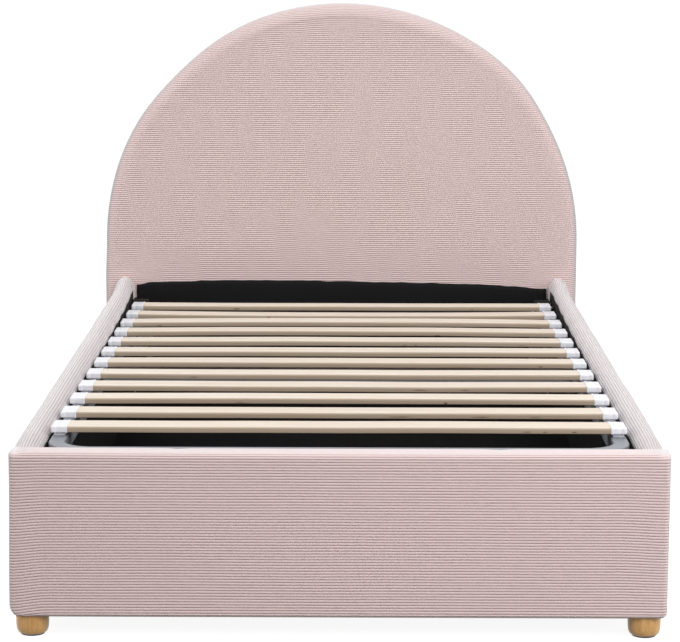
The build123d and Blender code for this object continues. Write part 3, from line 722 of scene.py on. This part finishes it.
def rail_fabric(side, material):
    """A side rail's fabric: ribs along it, up the outside, over the top and down the inside."""
    head_rise, head_out, head_reach = 3 * mm, 7.5 * mm, 0.24  # near the headboard
    foot_sink, foot_reach = 5.5 * mm, 70 * mm  # where it meets the foot panel
    shift_depth, pull_depth, soft_depth = 0.5 * mm, 2.4 * mm, 0.7 * mm
    end_round, end_run, stations_between = 6 * mm, 20 * mm, 44

    low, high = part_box(f"{side}_rail_cover")
    sign, inner, outer = side_of(low, high)
    wall = high.z - rail_round - low.z
    over = rail_round * math.pi
    rows, height = rib_rows(wall + over + wall)

    near_end = np.array((0, 1.2, 3, 5.5, 9)) * mm
    inner_run = np.linspace(low.y + end_run, high.y - end_run, stations_between)
    stations = np.concatenate([low.y + near_end, inner_run, high.y - near_end[::-1]])
    y = stations[:, None]
    from_foot, from_head = y - low.y, high.y - y
    shift = shift_depth * smooth_field(y, rows, 0.15, 0.5, seed=31 + sign)
    pulled = pull_depth * staple_pull(from_foot) * ramp(rows, wall + over * 0.35, wall + over)
    calm = np.sin(np.clip(rows / (wall + over), 0, 1) * math.pi)
    s = np.clip(rows + shift * calm + pulled, 0, None)
    angle = np.clip((s - wall) / rail_round, 0, math.pi)
    down = np.clip(s - wall - over, 0, wall)
    press = rib_lift - rib_depth * (1 - height) - corner_inset(from_head, end_round)
    press = press + soft_depth * smooth_field(y, rows, 0.2, 0.6, seed=41 + sign)
    at_head = 1 - ramp(from_head, 0, head_reach)
    at_foot = 1 - ramp(from_foot, 0, foot_reach)
    inner_share = ramp(angle, 1.0, math.pi)
    up = (rail_round + press + head_rise * at_head - foot_sink * at_foot) * np.sin(angle)
    z = low.z + np.clip(s, 0, wall) + up - down
    drawn = head_out * at_head * (1 - inner_share) + inner_draw(side, from_head, z) * inner_share
    out = (rail_round + press) * np.cos(angle) + drawn * ramp(s, 0, wall)
    body, faces = loft_points(points_at(sign * ((outer + inner) / 2 + out), y, z))
    rib = np.tile(height, len(stations))
    return padded_piece(f"{side}_rail_fabric", body, faces, rib, f"{side}_rail_cover", material)


# -------------------- linings

def lining_slack(along, z, t, deepest, shortest, longest, seed):
    """How far a lining hangs off its wall, where t goes from 0 below to 1 at its held edge."""
    slack = smooth_field(along, z * 0.5, shortest, longest, seed) * np.sin(t * math.pi) ** 0.5
    return deepest * (slack + 1) * ramp(1 - t, 0, lining_held)


def cloth_piece(name, points, node, material):
    """A grid of points made into thin cloth."""
    rows, columns = points.shape[:2]
    piece = mesh_object(name, points, grid_faces(rows, columns))
    thicken = piece.modifiers.new("thickness", "SOLIDIFY")
    thicken.thickness = cloth_thick
    thicken.offset = 0
    finish_piece(piece, "base", material, [node])
    return piece


def lining_grid(start, end, columns, rows):
    """Places along a lining, and shares of its height."""
    return np.linspace(start, end, columns)[None, :], np.linspace(0, 1, rows)[:, None]


def headboard_hem(x):
    """Height of the headboard lining's upper edge, drawn across the bed."""
    places = (-0.54, -0.52, -0.42, -0.31, -0.10, 0.0, 0.21, 0.37, 0.47, 0.54)
    heights = (331.5, 337, 340.5, 343.9, 343.5, 342, 338, 335, 329, 322.5)
    return np.interp(x, places, heights) * mm + 0.6 * mm * smooth_field(x, 0, 0.03, 0.09, seed=55)


def headboard_lining(material):
    """The lining low on the headboard's front, between the rails."""
    node = "headboard_lining"
    low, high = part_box(node)
    spread = 9.5 * mm  # towards the rails, whose inner sides draw back here
    x, t = lining_grid(low.x - spread, high.x + spread, columns=121, rows=31)
    z = low.z + (headboard_hem(x) - low.z) * t
    y = low.y - cloth_gap - lining_slack(x, z, t, 1.1 * mm, 0.05, 0.22, seed=51)
    return cloth_piece("headboard_lining_cloth", points_at(x, y, z), node, material)


def foot_lining(material):
    """The lining on the foot panel's inner face, scalloped a little between its staples."""
    node = "foot_panel_lining"
    low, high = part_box(node)
    scallop, scallop_length = 1.5 * mm, 0.15
    x, t = lining_grid(low.x, high.x, columns=101, rows=21)
    top = high.z - scallop * np.abs(np.sin(x / scallop_length * math.pi))
    z = low.z + (top - low.z) * t
    y = high.y + cloth_gap + lining_slack(x, z, t, 0.8 * mm, 0.06, 0.25, seed=61)
    return cloth_piece("foot_panel_lining_cloth", points_at(x, y, z), node, material)


def rail_lining(side, material):
    """The lining inside a rail, its upper edge drawn up at each staple."""
    node = f"{side}_rail_lining"
    low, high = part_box(node)
    sign, face, _ = side_of(low, high)
    end = high.y - 85 * mm  # short of the headboard, where the rail's own fabric shows
    rise, droop = 1.5 * mm, 4 * mm
    y, t = lining_grid(low.y, end, columns=175, rows=17)
    ragged = 0.6 * mm * smooth_field(y, 0, 0.05, 0.2, seed=71 + sign)
    top = high.z + rise - droop * staple_pull(y - low.y) + ragged
    z = low.z + (top - low.z) * t
    slack = lining_slack(y, z, t, 0.6 * mm, 0.06, 0.25, seed=73 + sign)
    x = sign * (face + inner_draw(side, high.y - y, z) - cloth_gap - slack)
    return cloth_piece(f"{side}_rail_lining_cloth", points_at(x, y, z), node, material)


def back_cloth(material):
    """The black cloth stapled over the headboard's back, inside the turned-over fabric."""
    node = "headboard_back_cloth"
    low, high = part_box(node)
    sunk, hollow, held = 0.5 * mm, 0.35 * mm, 40 * mm
    half = high.x
    arch_z = high.z - half
    up_arch = arch_z + half * np.sin(np.linspace(0, quarter_turn, 46)[1:])
    z = np.concatenate([np.linspace(low.z, arch_z, 41), up_arch])[:, None]
    above = np.clip(z - arch_z, 0, None)
    width = np.sqrt(np.clip(half**2 - above**2, 0, None))
    x = width * np.sin(np.linspace(-1, 1, 81) * quarter_turn)
    slack = 1 - smooth_field(x, z, 0.08, 0.4, seed=81)
    y = high.y - sunk - hollow * slack * ramp(half - np.hypot(x, above), 0, held)
    points, under = points_at(x, y, z), ["headboard_fabric", "headboard_panel"]
    return cloth_piece("headboard_back_sheet", points, node, material)


def staple(centre, along, out):
    """A wire staple: a crown along one direction, with a short leg driven in at each end."""
    half, wire, side = along * staple_width / 2, staple_wire / 2, along.cross(out)
    leg = out * staple_leg
    path = (
        (centre - half - leg, -along), (centre - half, out - along),
        (centre + half, out + along), (centre + half - leg, along),
    )
    turns = ((1, 1), (1, -1), (-1, -1), (-1, 1))
    return loft_points([
        [list(point + wire * (a * way + b * side)) for a, b in turns] for point, way in path
    ])


def back_staples(material):
    """The staples that hold the cloth on the headboard's back, just inside its edge."""
    low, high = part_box("headboard_back_cloth")
    arch_z, radius = high.z - high.x, high.x - back_staple_inset
    level = high.y - 0.4 * mm
    foot = low.z + back_staple_inset
    spacing = back_staple_spacing
    places = []
    for angle in np.linspace(0, math.pi, round(radius * math.pi / spacing) + 1):
        way = Vector((math.cos(angle), 0, math.sin(angle)))
        places.append((Vector((0, level, arch_z)) + way * radius, Vector((-way.z, 0, way.x))))
    for z in np.arange(arch_z - spacing, foot + spacing / 2, -spacing):
        places += [(Vector((side * radius, level, z)), Vector((0, 0, 1))) for side in (-1, 1)]
    for x in np.linspace(-radius, radius, round(2 * radius / spacing) + 1):
        places.append((Vector((x, level, foot)), Vector((1, 0, 0))))
    out = Vector((0, 1, 0))
    points, faces = join_parts([staple(centre, along, out) for centre, along in places])
    piece = mesh_object("back_staples", points, faces, sharp=30)
    return finish_piece(piece, "base", material)


# -------------------- slats and caps

def slat(number, material):
    """One slat: a sanded strip with soft edges and a slight bow and warp of its own."""
    wander_depth, drift_depth, twist_most = 0.3 * mm, 0.5 * mm, math.radians(0.5)
    node = f"slat_{number:02d}"
    low, high = deck_box(node)
    centre = (low + high) / 2
    radii = (slat_round, slat_round, slat_under_round, slat_under_round)
    section = rounded_section((high.y - low.y) / 2, (high.z - low.z) / 2, radii, 6, between=3)
    random = np.random.default_rng(100 + number)
    twist, drift, start = random.uniform(-1, 1, 3)
    stations, rings = 41, []
    for x in np.linspace(low.x, high.x, stations):
        free = 1 - (x / high.x) ** 2
        wander = float(smooth_field(x, 0.0, 0.25, 0.8, seed=200 + number))
        rise = free * (slat_crowns[number - 1] * mm + wander_depth * wander)
        lean = free * twist * twist_most
        v = section[:, 1] + section[:, 0] * math.sin(lean) + rise
        u = section[:, 0] + free * drift_depth * drift * math.sin(x * 4 + start * 3)
        rings.append(points_at(x, centre.y + u, centre.z + v))
    points, faces = loft_points(rings)
    piece = mesh_object(f"wood_{node}", place(points, deck), faces, sharp=50)
    return finish_piece(piece, "platform", material, [node])


def cap_part(sign, outer, inner, low, high):
    """The plastic cap on a slat's end: a rounded pocket with a raised lip at its mouth."""
    outside = (  # depth and inset in mm, where the full length is 30
        (0.0, 2.6), (0.3, 1.6), (1.2, 0.9), (2.6, 0.7), (9.0, 0.7), (9.5, 1.0), (10.5, 1.0),
        (11.0, 0.7), (25.8, 0.7), (26.4, 0.1), (27.0, 0.0), (29.2, 0.0), (29.8, 0.3), (30.0, 0.8),
    )
    full, pocket_end = 30.0, 4.0
    half_y, half_z = (high.y - low.y) / 2, (high.z - low.z) / 2
    shapes = [
        (depth, half_y + cap_side_wall - inset * mm, half_z + cap_wall - inset * mm)
        for depth, inset in outside
    ]
    shapes += [(depth, half_y + cap_play, half_z + cap_play) for depth in (full, pocket_end)]
    rings = []
    for depth, section_y, section_z in shapes:
        section = rounded_section(section_y, section_z, [cap_round] * 4, 6, between=2)
        x = outer - (outer - inner) * depth / full
        rings.append(points_at(x, section[:, 0], section[:, 1]))
    points, faces = loft_points(rings)
    return points * (sign, 1, 1) + (0, (low.y + high.y) / 2, (low.z + high.z) / 2), faces


def cap_foot(x, low, high, tube_top):
    """The low foot between a cap and the tube, with a chamfered lower rim."""
    half_x, half_y, foot_round, chamfer = 11 * mm, 23 * mm, 2.5 * mm, 0.8 * mm
    rings = []
    for up, inset in ((0.0, chamfer), (0.8, 0.0), (1.0, 0.0)):
        section = rounded_section(half_x - inset, half_y - inset, [foot_round] * 4, 5, between=2)
        level = tube_top + (low.z - cap_wall - tube_top) * up
        rings.append(points_at(x + section[:, 0], (low.y + high.y) / 2 + section[:, 1], level))
    return loft_points(rings)


def slat_caps(side, material):
    """All the caps along one side, each with its foot."""
    node = f"{side}_slat_caps"
    sign, inner, outer = side_of(*deck_box(node))
    tube_low, tube_high = deck_box(f"{side}_frame_tube")
    tube_x = (tube_low.x + tube_high.x) / 2
    parts = []
    for number in range(1, slat_count + 1):
        low, high = deck_box(f"slat_{number:02d}")
        parts.append(cap_part(sign, outer, inner, low, high))
        parts.append(cap_foot(tube_x, low, high, tube_high.z))
    points, faces = join_parts(parts)
    piece = mesh_object(f"{side}_end_caps", place(points, deck), faces, sharp=40)
    return finish_piece(piece, "platform", material, [node])


# -------------------- feet

def turned_foot(node, material):
    """A short turned foot with a softened rim and a well-rounded lower edge."""
    low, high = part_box(node)
    centre, radius, tall = (low + high) / 2, (high.x - low.x) / 2, high.z - low.z
    profile = (  # shares of the radius and of the height
        (0.70, 0.0), (0.80, 0.02), (0.885, 0.075), (0.945, 0.17), (0.98, 0.30),
        (0.996, 0.46), (1.0, 0.62), (0.998, 0.95), (0.99, 0.985), (0.96, 1.0),
    )
    angles = np.linspace(0, 2 * math.pi, 73)[:-1]
    points, faces = loft_points([
        points_at(centre.x + radius * r * np.cos(angles), centre.y + radius * r * np.sin(angles),
                  low.z + tall * h)
        for r, h in profile
    ])
    piece = mesh_object(f"turned_{node}", points, faces, sharp=35)
    return finish_piece(piece, "base", material, [node])


# -------------------- stage, lights and camera

def seen_directly(nodes, strength):
    """The strength where a camera, glossy or transmission ray looks, and none for the light."""
    rays = nodes.add("ShaderNodeLightPath").outputs
    seen = nodes.math("ADD", rays["Is Camera Ray"], rays["Is Glossy Ray"], clamp=True)
    seen = nodes.math("ADD", seen, rays["Is Transmission Ray"], clamp=True)
    return nodes.math("MULTIPLY", seen, strength)


def studio_floor():
    """A pale floor that reads white where nothing shades it and keeps the bed's soft shadow."""
    reach, tone, glow = 90.0, 0.2, 0.92
    mesh = bpy.data.meshes.new("studio_floor")
    corners = [(-reach, -reach, 0), (reach, -reach, 0), (reach, reach, 0), (-reach, reach, 0)]
    mesh.from_pydata(corners, [], [(0, 1, 2, 3)])
    material = bpy.data.materials.new("studio_floor")
    material.use_nodes = True
    nodes = Nodes(material.node_tree)
    nodes.tree.nodes.clear()
    lit = nodes.add("ShaderNodeBsdfDiffuse", {"Color": (tone, tone, tone, 1)})
    shine = nodes.add("ShaderNodeEmission", {"Strength": seen_directly(nodes, glow)})
    both = nodes.add("ShaderNodeAddShader", {0: lit.outputs[0], 1: shine.outputs[0]})
    nodes.add("ShaderNodeOutputMaterial", {"Surface": both.outputs[0]})
    mesh.materials.append(material)
    floor = linked("studio_floor", mesh)


def area_lamp(name, stands, aim, size, power):
    lamp = bpy.data.lights.new(name, "AREA")
    lamp.shape, lamp.size, lamp.energy = "SQUARE", size, power
    made = linked(name, lamp)
    made.location = stands
    made.rotation_euler = (Vector(aim) - Vector(stands)).to_track_quat("-Z", "Y").to_euler()


def studio_light():
    """Lamps overhead, from the front and at both sides, and an even surround that looks white."""
    surround = 0.5
    world = bpy.data.worlds.new("studio")
    bpy.context.scene.world = world
    world.use_nodes = True
    nodes = Nodes(world.node_tree)
    strength = nodes.math("ADD", seen_directly(nodes, 1 - surround), surround)
    background = nodes.tree.nodes["Background"]
    nodes.fill(background, {"Color": (1, 1, 1, 1), "Strength": strength})
    area_lamp("overhead", (0.5, -0.2, 4.2), (0, 0, 0.2), size=4.0, power=47)
    area_lamp("front_fill", (1.8, -4.9, 3.3), (0, -1.1, 0.3), size=2.4, power=110)
    area_lamp("near_fill", (1.0, -3.0, 1.5), (0.1, -1.1, 0.3), size=0.9, power=6)
    area_lamp("left_side", (-4.2, 0.2, 2.0), (0, 0.4, 0.6), size=2.4, power=72)
    area_lamp("right_side", (4.2, -0.8, 2.0), (0, 0, 0.6), size=2.4, power=58)


def photo_camera():
    """The camera that took the photograph, fitted to the bed's edges."""
    stands = (0.0127, -5.150, 1.2683)
    yaw, pitch, roll = -0.0027, 0.1664, 0.0028
    data = bpy.data.cameras.new("photo_camera")
    data.lens, data.sensor_width = 122.95, 36.0
    data.clip_start, data.clip_end = 0.1, 100
    camera = linked("photo_camera", data)
    right = Vector((math.cos(yaw), -math.sin(yaw), 0))
    ahead = Vector((
        math.sin(yaw) * math.cos(pitch), math.cos(yaw) * math.cos(pitch), -math.sin(pitch),
    ))
    above = right.cross(ahead)
    rolled_right = right * math.cos(roll) + above * math.sin(roll)
    rolled_up = above * math.cos(roll) - right * math.sin(roll)
    turn = Matrix((rolled_right, rolled_up, -ahead)).transposed().to_4x4()
    camera.matrix_world = Matrix.Translation(stands) @ turn
    bpy.context.scene.camera = camera
    bpy.context.scene.view_settings.view_transform = "Standard"


# -------------------- the bed

def make_materials():
    """One material for each of the record's slots."""
    return {
        "cord_fabric": cord_fabric(),
        "black_lining": black_lining(),
        "core_board": chip_board(),
        "core_timber": planed_timber(),
        "floor_board": floor_board_face(),
        "foot_wood": foot_wood(),
        "slat_wood": slat_wood(slat_marks()),
        "cap_plastic": cap_plastic(),
        "glide_plastic": dark_plastic("glide_plastic", linear(34, 34, 35), linear(52, 52, 53), 0.5),
        "rest_rubber": dark_plastic("rest_rubber", linear(26, 26, 27), linear(44, 43, 43), 0.75),
        "grey_steel": powder_coat("grey_steel", linear(134, 137, 145), linear(146, 149, 156), 0.4),
        "black_steel": powder_coat("black_steel", linear(20, 20, 16), linear(32, 30, 24),
                                   0.7, specular=0.15),
        "strut_body": gloss_paint(),
        "strut_rod": polished_rod(),
        "zinc_fastener": zinc("zinc_fastener", linear(206, 206, 200), linear(170, 168, 156), 0.3),
        "zinc_bracket": zinc("zinc_bracket", linear(198, 199, 196), linear(160, 160, 156), 0.38),
    }


def dress_cad_nodes(materials):
    """Each CAD node takes its slot's material."""
    for part in frame["record"]["subparts"]:
        mesh = frame["nodes"][part["node"]].data
        mesh.materials.clear()
        mesh.materials.append(materials[part["material_slot"]])


studio_floor()
studio_light()
photo_camera()
materials = make_materials()
dress_cad_nodes(materials)

headboard_fabric(materials["cord_fabric"])
foot_panel_fabric(materials["cord_fabric"])
for side in ("left", "right"):
    rail_fabric(side, materials["cord_fabric"])
    rail_lining(side, materials["black_lining"])
    slat_caps(side, materials["cap_plastic"])
headboard_lining(materials["black_lining"])
foot_lining(materials["black_lining"])
back_cloth(materials["black_lining"])
back_staples(materials["zinc_fastener"])
for number in range(1, slat_count + 1):
    slat(number, materials["slat_wood"])
for node in ("front_left_foot", "front_right_foot", "rear_left_foot", "rear_right_foot"):
    turned_foot(node, materials["foot_wood"])
